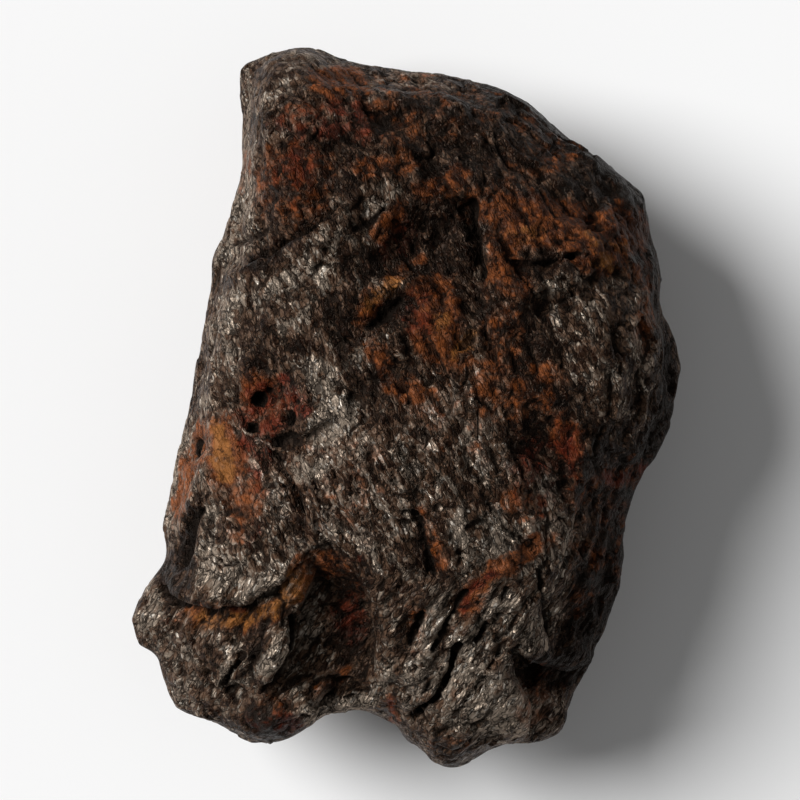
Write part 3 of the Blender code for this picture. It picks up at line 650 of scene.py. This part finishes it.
@dataclass
class Stone:
    """The stone's finished surface, cut finer than the solid and painted.

    A pair gives where something starts and ends: across a mark's edge in shares of its half width, on
    slopes by how far they face up, and otherwise in mm.
    """

    merge_mm: float = 0.01
    even_mm: float = 0.97
    smooth_rounds: int = 5
    smooth_share: float = 0.5
    fine_from_mm: float = 9.5
    coarse_fade_mm: float = 2.0
    front_fade_mm: float = 7.0
    painted_below_mm: float = 6.0
    side_calm: float = 0.75
    smooth_calm: float = 0.85
    chosen_share: float = 0.01
    steep: Span = (0.1, 0.6)
    looks_up: Span = (0.0, 0.4)
    looks_down: Span = (-0.2, 0.1)
    pit_wall: Span = (0.5, 1.2)
    pit_shade: Span = (0.7, 1.2)
    streak_edge: Span = (0.35, 1.3)
    streak_end_share: float = 0.3
    patch_edge: Span = (0.45, 1.35)
    strewn_wavelength_mm: float = 11.0
    strewn_edge: Span = (0.05, 0.55)
    strewn_seed: float = 20.0

    def build(self) -> bpy.types.Object:
        """Makes the stone's surface.

        Returns:
            The finished piece.
        """
        mesh = self.evened_copy()
        skin = Skin(mesh)
        self.carve(skin)
        self.chip(skin)
        self.paint(skin)
        for face in mesh.polygons:
            face.use_smooth = True
        piece = bpy.data.objects.new("stone_surface", mesh)
        bpy.context.scene.collection.objects.link(piece)
        log.info("stone: %d faces, %d points", len(mesh.polygons), len(mesh.vertices))
        return piece

    def evened_copy(self) -> bpy.types.Mesh:
        """Copies the solid's mesh, evens its faces, smooths its facets and splits the front finer.

        Returns:
            A closed mesh of small faces, half as large on the front.
        """
        form = bmesh.new()
        form.from_mesh(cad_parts[NODE].data)
        bmesh.ops.remove_doubles(form, verts=form.verts, dist=self.merge_mm * MM)
        rough = bpy.data.meshes.new("rough")
        form.to_mesh(rough)
        form.free()
        holder = bpy.data.objects.new("holder", rough)
        bpy.context.scene.collection.objects.link(holder)
        even = holder.modifiers.new("even", "REMESH")
        even.mode = "VOXEL"
        even.voxel_size = self.even_mm * MM
        graph = bpy.context.evaluated_depsgraph_get()
        mesh = bpy.data.meshes.new_from_object(holder.evaluated_get(graph))
        bpy.data.objects.remove(holder)
        bpy.data.meshes.remove(rough)
        form = bmesh.new()
        form.from_mesh(mesh)
        for _ in range(self.smooth_rounds):
            above_floor = [point for point in form.verts if point.co.z > MM]
            bmesh.ops.smooth_vert(form, verts=above_floor, factor=self.smooth_share, use_axis_x=True,
                                  use_axis_y=True, use_axis_z=True)
        low = self.fine_from_mm * MM
        fine = [edge for edge in form.edges if min(edge.verts[0].co.z, edge.verts[1].co.z) > low]
        bmesh.ops.subdivide_edges(form, edges=fine, cuts=1, use_grid_fill=True, smooth=self.smooth_share)
        form.to_mesh(mesh)
        form.free()
        return mesh

    def carve(self, skin: Skin) -> None:
        """Sharpens the ledges, cracks and pits, and stores how deep points lie in the cracks and pits for
        painted shade.

        Args:
            skin: The surface.
        """
        x, y = strayed(skin.points, LINE_WANDER)
        lift, cuts = np.zeros_like(x), np.zeros_like(x)
        for ledge in LEDGES:
            gap, side, taper = along_line(ledge.line, x, y)
            near = np.exp(-((gap / ledge.reach) ** 2))
            lift += 0.5 * ledge.height * np.tanh(side * gap / ledge.edge) * taper * near
        for crack in CRACKS:
            gap, _, taper = along_line(crack.line, x, y)
            cut = taper * np.exp(-((gap / crack.width) ** 2))
            lift -= crack.depth * cut
            cuts = np.maximum(cuts, cut * min(1.0, crack.depth))
        for pit in PITS:
            x0, y0 = from_place(pit.place)
            gap = np.hypot(x - x0, y - y0) / (pit.radius * STEP_MM)
            lift -= pit.depth * (1 - smooth_step(*self.pit_wall, gap))
            cuts = np.maximum(cuts, (1 - smooth_step(*self.pit_shade, gap)) * min(1.0, pit.depth))
        # Painted shade: the material darkens the cracks and pits by this.
        skin.paint("cut", cuts * self.frontness(skin))
        skin.lift(lift * self.frontness(skin))
        shift = np.zeros_like(skin.points)
        for rise in RISES:
            shift[:, 2] += self.spread(rise, x, y)
        skin.move(shift * smooth_step(*self.looks_up, skin.outward[:, 2])[:, None])

    def frontness(self, skin: Skin, below_waist: float = 0.0) -> np.ndarray:
        """1 on the front, which starts so many mm below the waist, 0 on the back and between at the sides."""
        start = WAIST_MM - below_waist
        return smooth_step(start, start + self.front_fade_mm, skin.points[:, 2])

    def spread(self, mark: Patch | Streak, x: np.ndarray, y: np.ndarray) -> np.ndarray:
        """How strongly a painted mark shows.

        Args:
            mark: The mark.
            x: Places in mm along X.
            y: Places in mm along Y.

        Returns:
            Its strength in the middle, and 0 well outside it.
        """
        if isinstance(mark, Streak):
            gap, _, taper = along_line(mark.line, x, y)
            reach = gap / (mark.half_width * STEP_MM)
            ends = self.streak_end_share + (1 - self.streak_end_share) * taper
            return mark.strength * (1 - smooth_step(*self.streak_edge, reach)) * ends
        x0, y0 = from_place(mark.place)
        turn = math.radians(mark.turn)
        long_way = (x - x0) * math.cos(turn) + (y - y0) * math.sin(turn)
        short_way = (y - y0) * math.cos(turn) - (x - x0) * math.sin(turn)
        reach = np.hypot(long_way / mark.half_length, short_way / mark.half_width) / STEP_MM
        return mark.strength * (1 - smooth_step(*self.patch_edge, reach))

    def marks(self, tint: Tint, x: np.ndarray, y: np.ndarray) -> np.ndarray:
        """The strongest of a tint's marks at each place in mm."""
        return np.max([self.spread(mark, x, y) for mark in PAINT[tint]], axis=0)

    def chip(self, skin: Skin) -> None:
        """Breaks the surface into small tilted flats that follow the grain.

        Args:
            skin: The surface.
        """
        x, y = strayed(skin.points, LINE_WANDER)
        lower = smooth_step(*LOWER_ROWS, row_of(y))
        band = self.spread(BAND, x, y) * (1 - lower)
        shares = {LOWER_TURN: lower, BAND_TURN: band, UPPER_TURN: (1 - lower) * (1 - band)}
        lift = np.zeros_like(x)
        for turn, share in shares.items():
            chosen = share > self.chosen_share
            for chips in CHIPS[turn]:
                lift[chosen] += share[chosen] * chips_at(skin.points[chosen], chips, turn)
            breaks = seams_at(skin.points[chosen], turn) + steps_at(skin.points[chosen], turn)
            lift[chosen] += share[chosen] * breaks
        front = self.frontness(skin)
        calm = 1 - self.smooth_calm * self.marks(Tint.SMOOTH, x, y) * front
        steep = 1 - smooth_step(*self.steep, np.abs(skin.outward[:, 2]))
        lift *= calm * (1 - self.side_calm * steep)
        fine_full_mm = self.fine_from_mm + self.coarse_fade_mm
        coarse = 1 - smooth_step(self.fine_from_mm, fine_full_mm, skin.points[:, 2])
        coarse = np.maximum(coarse, 1 - smooth_step(*self.looks_down, skin.outward[:, 2]))
        even = skin.neighbour_mean(skin.neighbour_mean(lift[:, None]))[:, 0]
        skin.lift(lift + (even - lift) * coarse)

    def paint(self, skin: Skin) -> None:
        """Stores where rust, gold, grey iron and dark patina are, with painted highlights and painted shade
        among them, and how hollow each place is, for painted shade.

        Args:
            skin: The surface.
        """
        x, y = strayed(skin.points, PAINT_WANDER)
        front = self.frontness(skin, self.painted_below_mm)
        for index, tint in enumerate(Tint):
            strewn = noise_at(skin.points, self.strewn_wavelength_mm, self.strewn_seed + index)
            strewn = smooth_step(*self.strewn_edge, strewn) * BACK_SHARE[tint]
            skin.paint(tint.value, self.marks(tint, x, y) * front + strewn * (1 - front))
        # Painted shade: how hollow each point is, which the material darkens.
        for name, (rounds, full) in HOLLOWS.items():
            skin.paint(name, skin.hollowness(rounds, full))
        skin.paint("lower", smooth_step(*LOWER_ROWS, row_of(skin.points[:, 1])))

    def dress(self, piece: bpy.types.Object) -> None:
        """Gives the piece its finish and its place in the model.

        Args:
            piece: The stone's surface.
        """
        piece.data.materials.clear()
        piece.data.materials.append(PatinaFinish().material())
        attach(piece, BODY)
        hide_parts(NODE)


Feed = bpy.types.NodeSocket | float | tuple

HALF = (0.5, 0.5, 0.5)


class NodeBoard:
    """A material's nodes, added one at a time."""

    def __init__(self, name: str) -> None:
        """Starts a material.

        Args:
            name: The material's name.
        """
        self.material = bpy.data.materials.new(name)
        self.material.use_nodes = True
        self.tree = self.material.node_tree
        self.shader = self.tree.nodes["Principled BSDF"]

    def feed(self, target: bpy.types.NodeSocket, source: Feed) -> None:
        """Links a socket, or sets it.

        Args:
            target: The input.
            source: An output to link, or a constant.
        """
        if isinstance(source, bpy.types.NodeSocket):
            self.tree.links.new(source, target)
        else:
            target.default_value = source

    def add(self, kind: str, feeds: dict[str | int, Feed], **settings: object) -> bpy.types.Node:
        """Adds a node.

        Args:
            kind: Its type.
            feeds: What goes into its inputs.
            settings: Its options.

        Returns:
            The node.
        """
        node = self.tree.nodes.new(kind)
        for name, value in settings.items():
            setattr(node, name, value)
        for name, source in feeds.items():
            self.feed(node.inputs[name], source)
        return node

    def math(self, operation: str, first: Feed, second: Feed = 0.0) -> Feed:
        """The result of a sum of that kind on two values."""
        return self.add("ShaderNodeMath", {0: first, 1: second}, operation=operation).outputs[0]

    def rest(self, value: Feed) -> Feed:
        """What a share leaves of 1."""
        return self.math("SUBTRACT", 1.0, value)

    def times(self, first: Feed, *others: Feed) -> Feed:
        """The product of several values.

        Args:
            first: The first value.
            others: The other values.

        Returns:
            The product.
        """
        for other in others:
            first = self.math("MULTIPLY", first, other)
        return first

    def sum(self, first: Feed, *others: tuple[Feed, float]) -> Feed:
        """A weighted sum.

        Args:
            first: The value that counts in full.
            others: The other values and their weights.

        Returns:
            The sum.
        """
        for value, weight in others:
            first = self.math("ADD", first, self.math("MULTIPLY", value, weight))
        return first

    def vector(self, operation: str, first: Feed, second: Feed, output: str = "Vector") -> Feed:
        """The result of a sum of that kind on two vectors."""
        return self.add("ShaderNodeVectorMath", {0: first, 1: second}, operation=operation).outputs[output]

    def mix(self, share: Feed, first: Feed, second: Feed) -> Feed:
        """A blend of two colours, the first at 0 and the second at 1."""
        return self.add("ShaderNodeMix", {0: share, 6: first, 7: second}, data_type="RGBA").outputs[2]

    def blend(self, share: Feed, first: Feed, second: Feed) -> Feed:
        """A blend of two values, the first at 0 and the second at 1."""
        return self.add("ShaderNodeMix", {0: share, 2: first, 3: second}, data_type="FLOAT").outputs[0]

    def rise(self, value: Feed, low: float, high: float) -> Feed:
        """A smooth rise of a value from 0 at low to 1 at high."""
        feeds = {"Value": value, "From Min": low, "From Max": high}
        return self.add("ShaderNodeMapRange", feeds, interpolation_type="SMOOTHSTEP").outputs[0]

    def painted(self, name: str) -> Feed:
        """The value of that name painted on the stone's points."""
        return self.add("ShaderNodeAttribute", {}, attribute_name=name).outputs["Fac"]


@dataclass(frozen=True)
class PatinaFinish:
    """Dark glossy patina with rust, gold rust, red rust and bare grey iron, with painted highlights and
    painted shade.

    The surface is broken into small crystal faces with painted shade in the gaps between them. A pair gives
    where a rise from 0 to 1 starts and ends, and a share gives how much of something is left or counts.
    """

    # Near black, for the painted shade in gaps, hollows, cracks and pits.
    gap_and_shade_brown: tuple = (0.0022, 0.0010, 0.0006, 1.0)
    black_brown: tuple = (0.0024, 0.0010, 0.0006, 1.0)
    dark_brown: tuple = (0.0120, 0.0044, 0.0022, 1.0)
    mid_brown: tuple = (0.0720, 0.0400, 0.0240, 1.0)
    # The lightest tone: grey iron, and the painted highlights of the pale marks.
    grey_iron_and_highlight: tuple = (0.2500, 0.2000, 0.1550, 1.0)
    glint_iron: tuple = (0.4600, 0.4100, 0.3500, 1.0)
    dark_rust: tuple = (0.0330, 0.0078, 0.0023, 1.0)
    bright_rust: tuple = (0.2000, 0.0520, 0.0105, 1.0)
    dark_gold: tuple = (0.0420, 0.0140, 0.0035, 1.0)
    bright_gold: tuple = (0.2300, 0.0880, 0.0200, 1.0)
    red: tuple = (0.0900, 0.0110, 0.0045, 1.0)

    # Lumps a metre and finer rounds of each noise, and the finer rounds of what wanders.
    speck: tuple = (1100.0, 3.0)
    clump: tuple = (520.0, 2.0)
    blotch: tuple = (210.0, 4.0)
    noise_roughness: float = 0.62
    wander_detail: float = 3.0

    # A face's size in metres along the grain, across it and up, and how many finer faces it holds.
    face_sizes: tuple = (0.00175, 0.00078, 0.00078)
    finer: float = 2.2
    stir_scale: float = 0.8
    stir_reach: float = 1.5
    grain_border: tuple = (0.99, 1.01)

    # Gaps between faces, and long seams.
    plate_edge: tuple = (0.01, 0.17)
    parted_where: tuple = (0.4, 0.62)
    seam_scale: float = 0.42
    seam_edge: tuple = (0.03, 0.006)
    smooth_gap_share: float = 0.5
    rust_gap_share: float = 0.35

    # How much each pattern counts towards the tone, from black over brown to grey iron; the pale and dark
    # marks bring painted highlights and painted shade into it.
    tone_base: float = -1.13
    pale_weight: float = 0.62
    dark_weight: float = -0.5
    blotch_weight: float = 1.08
    clump_weight: float = 1.22
    speck_weight: float = 0.3
    face_weight: float = 0.54
    fine_face_weight: float = 0.22
    black_to_dark: tuple = (-0.05, 0.3)
    dark_to_mid: tuple = (0.28, 0.62)
    mid_to_grey: tuple = (0.6, 1.05)
    glint_faces: tuple = (0.88, 0.94)
    glint_tones: tuple = (0.6, 1.0)

    # The rust's own tone, which follows the bare tone and so its painted highlights and shade, and how fully
    # each rust covers.
    rust_base: float = -0.62
    rust_tone_weight: float = 0.5
    rust_clump_weight: float = 1.2
    rust_tones: tuple = (0.42, 1.2)
    gold_tones: tuple = (0.3, 1.0)
    rust_cover: float = 0.93
    gold_cover: float = 0.85
    red_cover: float = 0.9
    mark_ragged: float = 1.9
    mark_edge: tuple = (0.15, 0.95)
    mark_start: tuple = (0.0, 0.3)

    # Painted shade: what lies deep, the gaps, cracks and pits are darkened, though less where it is painted
    # pale.
    hollow_dark: tuple = (0.05, 0.65)
    deep_dark: tuple = (0.2, 0.9)
    pale_open: tuple = (0.5, 1.3)
    pale_open_share: float = 0.3
    gap_cover: float = 0.92
    sunk_cover: float = 0.85
    cut_dark: tuple = (0.1, 0.6)

    metal_tones: tuple = (0.55, 1.0)
    metal_share: float = 0.5
    face_dullness: tuple = (0.3, 0.5)
    rust_dullness: float = 0.55
    gap_dullness: float = 0.75
    specular: float = 0.17
    specular_tint: tuple = (1.0, 0.78, 0.62, 1.0)

    # Heights in mm of what is finer than the mesh, and where they are calmer.
    face_height: float = 1.2
    fine_face_height: float = 0.4
    plate_height: float = 0.2
    seam_height: float = -0.25
    speck_height: float = 0.15
    smooth_calm: float = 0.8
    calm_blotches: tuple = (0.38, 0.58)
    calm_share: float = 0.55
    rust_calm_share: float = 0.75

    def material(self) -> bpy.types.Material:
        """Builds the material."""
        return PatinaBoard(self).material


class PatinaBoard(NodeBoard):
    """The patina's nodes, from its noises to the shader's sockets."""

    def __init__(self, look: PatinaFinish) -> None:
        """Adds all the nodes.

        Args:
            look: The patina's colours, sizes and weights.
        """
        super().__init__(SLOT)
        self.look = look
        self.add_patterns()
        self.rust, self.gold, self.red = (self.mark(tint) for tint in (Tint.RUST, Tint.GOLD, Tint.RED))
        self.pale, self.smooth = (self.painted(tint.value) for tint in (Tint.PALE, Tint.SMOOTH))
        self.tone = self.bare_tone()
        self.shut = self.shut_in()
        bump = self.add("ShaderNodeBump", {"Strength": 1.0, "Distance": MM, "Height": self.heights()})
        feeds = {
            # Painted shade darkens the shut-in places towards a near black brown.
            "Base Color": self.mix(self.shut, self.rusted(self.bare_colour()), look.gap_and_shade_brown),
            "Roughness": self.dullness(),
            "Metallic": self.metal(),
            "Specular IOR Level": look.specular,
            "Specular Tint": look.specular_tint,
            "Normal": bump.outputs[0],
        }
        for name, source in feeds.items():
            self.feed(self.shader.inputs[name], source)

    def add_patterns(self) -> None:
        """Adds the noises, the crystal faces, the gaps between them and the long seams."""
        look = self.look
        place = self.add("ShaderNodeTexCoord", {}).outputs["Object"]
        noises = (look.speck, look.clump, look.blotch)
        self.speck, self.clump, self.blotch = (self.speckle(place, *size) for size in noises)
        self.laid = self.grain_places(place)
        self.faces = self.add("ShaderNodeTexVoronoi", {"Vector": self.laid, "Scale": 1.0})
        self.fine_faces = self.add("ShaderNodeTexVoronoi", {"Vector": self.laid, "Scale": look.finer})
        feeds = {"Vector": self.laid, "Scale": 1.0}
        gaps = self.add("ShaderNodeTexVoronoi", feeds, feature="DISTANCE_TO_EDGE").outputs["Distance"]
        self.plate = self.rise(gaps, *look.plate_edge)
        self.parted = self.times(self.rest(self.plate), self.rise(self.clump, *look.parted_where))
        feeds = {"Vector": self.laid, "Scale": look.seam_scale, "Detail": look.wander_detail}
        lines = self.add("ShaderNodeTexNoise", feeds).outputs[0]
        offset = self.math("ABSOLUTE", self.math("SUBTRACT", lines, 0.5))
        self.seam = self.rise(offset, *look.seam_edge)
        self.picks = self.add("ShaderNodeSeparateColor", {"Color": self.faces.outputs["Color"]})
        self.fine_picks = self.add("ShaderNodeSeparateColor", {"Color": self.fine_faces.outputs["Color"]})

    def speckle(self, place: Feed, scale: float, detail: float) -> Feed:
        """Fractal noise of about 0.2 to 0.8, by its lumps a metre and its finer rounds."""
        feeds = {"Vector": place, "Scale": scale, "Detail": detail, "Roughness": self.look.noise_roughness}
        return self.add("ShaderNodeTexNoise", feeds).outputs[0]

    def grain_places(self, place: Feed) -> Feed:
        """Places measured in crystal faces, laid along the grain of each part of the stone.

        Args:
            place: Object coordinates.

        Returns:
            The places.
        """
        look, laid = self.look, {}
        for turn in (UPPER_TURN, LOWER_TURN):
            rotation = (0.0, 0.0, math.radians(turn))
            feeds = {"Vector": place, "Rotation": rotation, "Scale": look.face_sizes}
            laid[turn] = self.add("ShaderNodeMapping", feeds, vector_type="TEXTURE").outputs[0]
        side = self.rise(self.sum(self.painted("lower"), (self.blotch, 1.0)), *look.grain_border)
        feeds = {0: side, 4: laid[UPPER_TURN], 5: laid[LOWER_TURN]}
        chosen = self.add("ShaderNodeMix", feeds, data_type="VECTOR").outputs[1]
        feeds = {"Vector": chosen, "Scale": look.stir_scale, "Detail": look.wander_detail}
        stir = self.add("ShaderNodeTexNoise", feeds).outputs["Color"]
        shake = self.vector("SUBTRACT", stir, HALF)
        feeds = {0: shake, "Scale": look.stir_reach}
        shake = self.add("ShaderNodeVectorMath", feeds, operation="SCALE").outputs[0]
        return self.vector("ADD", chosen, shake)

    def mark(self, tint: Tint) -> Feed:
        """A painted tint with a broken, ragged edge.

        Args:
            tint: The tint.

        Returns:
            0 outside the mark and 1 inside it.
        """
        painted = self.painted(tint.value)
        noises = self.math("SUBTRACT", self.math("ADD", self.clump, self.blotch), 1.0)
        ragged = self.math("ADD", painted, self.times(noises, self.look.mark_ragged))
        return self.times(self.rise(ragged, *self.look.mark_edge), self.rise(painted, *self.look.mark_start))

    def bare_tone(self) -> Feed:
        """The bare patina's tone, with the painted highlights and painted shade that the pale and dark marks
        bring.

        Returns:
            About 0 for black to 1 for grey iron.
        """
        look = self.look
        parts = (
            (self.pale, look.pale_weight),
            (self.painted(Tint.DARK.value), look.dark_weight),
            (self.blotch, look.blotch_weight),
            (self.clump, look.clump_weight),
            (self.speck, look.speck_weight),
            (self.picks.outputs[0], look.face_weight),
            (self.fine_picks.outputs[0], look.fine_face_weight),
        )
        return self.sum(look.tone_base, *parts)

    def bare_colour(self) -> Feed:
        """The colour where there is no rust.

        Returns:
            The colour.
        """
        look = self.look
        colour = self.mix(self.rise(self.tone, *look.black_to_dark), look.black_brown, look.dark_brown)
        colour = self.mix(self.rise(self.tone, *look.dark_to_mid), colour, look.mid_brown)
        colour = self.mix(self.rise(self.tone, *look.mid_to_grey), colour, look.grey_iron_and_highlight)
        few = self.rise(self.fine_picks.outputs[1], *look.glint_faces)
        return self.mix(self.times(few, self.rise(self.tone, *look.glint_tones)), colour, look.glint_iron)

    def rusted(self, colour: Feed) -> Feed:
        """Lays the rusts over the bare colour.

        Args:
            colour: The bare colour.

        Returns:
            The colour.
        """
        look = self.look
        parts = ((self.tone, look.rust_tone_weight), (self.clump, look.rust_clump_weight), (self.speck, 1.0))
        lively = self.sum(look.rust_base, *parts)
        rust = self.mix(self.rise(lively, *look.rust_tones), look.dark_rust, look.bright_rust)
        gold = self.mix(self.rise(lively, *look.gold_tones), look.dark_gold, look.bright_gold)
        colour = self.mix(self.times(self.rust, look.rust_cover), colour, rust)
        colour = self.mix(self.times(self.gold, look.gold_cover), colour, gold)
        return self.mix(self.times(self.red, look.red_cover), colour, look.red)

    def shut_in(self) -> Feed:
        """Where little light gets in: gaps, hollows, cracks and pits.

        Returns:
            0 in the open and 1 where it is black.
        """
        look = self.look
        gap = self.math("MAXIMUM", self.parted, self.seam)
        gap = self.times(gap, self.blend(self.smooth, 1.0, look.smooth_gap_share))
        gap = self.times(gap, self.blend(self.rust, 1.0, look.rust_gap_share), look.gap_cover)
        hollow = self.rise(self.painted("hollow"), *look.hollow_dark)
        sunk = self.math("MAXIMUM", hollow, self.rise(self.painted("deep"), *look.deep_dark))
        open_share = self.rise(self.pale, *look.pale_open)
        sunk = self.times(sunk, self.blend(open_share, 1.0, look.pale_open_share), look.sunk_cover)
        cut = self.rise(self.painted("cut"), *look.cut_dark)
        return self.math("MAXIMUM", self.math("MAXIMUM", gap, sunk), cut)

    def dullness(self) -> Feed:
        """How dull each place is.

        Returns:
            The roughness.
        """
        dull = self.blend(self.picks.outputs[2], *self.look.face_dullness)
        dull = self.blend(self.rust, dull, self.look.rust_dullness)
        return self.blend(self.shut, dull, self.look.gap_dullness)

    def metal(self) -> Feed:
        """How metallic each place is: bare bright faces only.

        Returns:
            The metallic share.
        """
        bright = self.rise(self.tone, *self.look.metal_tones)
        bare = self.rest(self.math("MAXIMUM", self.rust, self.gold))
        return self.times(bright, self.rest(self.shut), bare, self.look.metal_share)

    def heights(self) -> Feed:
        """The relief that is finer than the mesh.

        Returns:
            The height in mm.
        """
        look = self.look
        parts = (
            (self.tilts(self.fine_faces, 1.0), look.fine_face_height),
            (self.plate, look.plate_height),
            (self.seam, look.seam_height),
            (self.speck, look.speck_height),
        )
        heights = self.sum(self.tilts(self.faces, look.face_height), *parts)
        rough = self.rest(self.times(self.smooth, look.smooth_calm))
        blotches = self.blend(self.rise(self.blotch, *look.calm_blotches), look.calm_share, 1.0)
        rough = self.times(rough, blotches, self.blend(self.rust, 1.0, look.rust_calm_share))
        return self.times(heights, rough)

    def tilts(self, faces: bpy.types.Node, height: float) -> Feed:
        """The heights of faces that are each tilted their own way.

        Args:
            faces: The faces.
            height: Millimetres for each step.

        Returns:
            The height in mm.
        """
        own = self.vector("SUBTRACT", faces.outputs["Color"], HALF)
        inside = self.vector("SUBTRACT", self.laid, faces.outputs["Position"])
        return self.times(self.vector("DOT_PRODUCT", own, inside, "Value"), height)


@dataclass(frozen=True)
class FloorFinish:
    """Plain matt white."""

    colour: tuple = (0.86, 0.86, 0.86, 1.0)
    roughness: float = 0.9

    def material(self) -> bpy.types.Material:
        """Builds the material.

        Returns:
            The material.
        """
        board = NodeBoard("pale_floor")
        board.feed(board.shader.inputs["Base Color"], self.colour)
        board.feed(board.shader.inputs["Roughness"], self.roughness)
        return board.material


@dataclass
class Studio:
    """The floor, the lights and the camera."""

    floor_half_m: float = 4.0
    key_from: tuple = (-0.80, 0.30, 0.66)
    key_strength: float = 4.7
    key_angle: float = 36.0
    fill_from: tuple = (0.75, -0.2, 0.45)
    fill_strength: float = 0.2
    fill_angle: float = 90.0
    sky: float = 0.15
    lens_mm: float = 200.0
    sensor_mm: float = 36.0

    def build(self) -> None:
        """Makes the studio round the stone."""
        self.lay_floor()
        self.hang_light("key", self.key_from, self.key_strength, self.key_angle)
        self.hang_light("fill", self.fill_from, self.fill_strength, self.fill_angle)
        self.light_sky()
        self.place_camera()

    def lay_floor(self) -> None:
        """Lays the pale floor at height zero."""
        form = bmesh.new()
        bmesh.ops.create_grid(form, x_segments=1, y_segments=1, size=self.floor_half_m)
        mesh = bpy.data.meshes.new("floor")
        form.to_mesh(mesh)
        form.free()
        mesh.materials.append(FloorFinish().material())
        floor = bpy.data.objects.new("floor", mesh)
        bpy.context.scene.collection.objects.link(floor)

    def hang_light(self, name: str, towards: tuple, strength: float, angle: float) -> None:
        """Hangs a far soft light.

        Args:
            name: The light's name.
            towards: The way to the light.
            strength: How strong it is.
            angle: How wide it is in degrees.
        """
        lamp = bpy.data.lights.new(name, "SUN")
        lamp.energy = strength
        lamp.angle = math.radians(angle)
        thing = bpy.data.objects.new(name, lamp)
        thing.rotation_euler = Vector(towards).to_track_quat("Z", "Y").to_euler()
        bpy.context.scene.collection.objects.link(thing)

    def light_sky(self) -> None:
        """Gives the room a weak even light."""
        world = bpy.data.worlds.new("room")
        world.use_nodes = True
        back = world.node_tree.nodes["Background"]
        back.inputs["Color"].default_value = (1.0, 1.0, 1.0, 1.0)
        back.inputs["Strength"].default_value = self.sky
        bpy.context.scene.world = world

    def place_camera(self) -> None:
        """Puts the camera straight above the stone, as in the picture."""
        lens = bpy.data.cameras.new("camera")
        lens.lens = self.lens_mm
        lens.sensor_width = self.sensor_mm
        width = PICTURE_SIZE * STEP_MM * MM
        across, up = from_place((PICTURE_SIZE / 2, PICTURE_SIZE / 2))
        height = WAIST_MM * MM + width * self.lens_mm / self.sensor_mm
        camera = bpy.data.objects.new("camera", lens)
        camera.location = (across * MM, up * MM, height)
        bpy.context.scene.collection.objects.link(camera)
        bpy.context.scene.camera = camera
        bpy.context.scene.view_settings.view_transform = "Standard"


def main() -> None:
    """Builds the stone and the studio, and reports the piece."""
    logging.basicConfig(level=logging.INFO)
    stone = Stone()
    piece = stone.build()
    stone.dress(piece)
    log.info("%s rides on %s", piece.name, BODY)
    Studio().build()


if __name__ == "__main__":
    main()
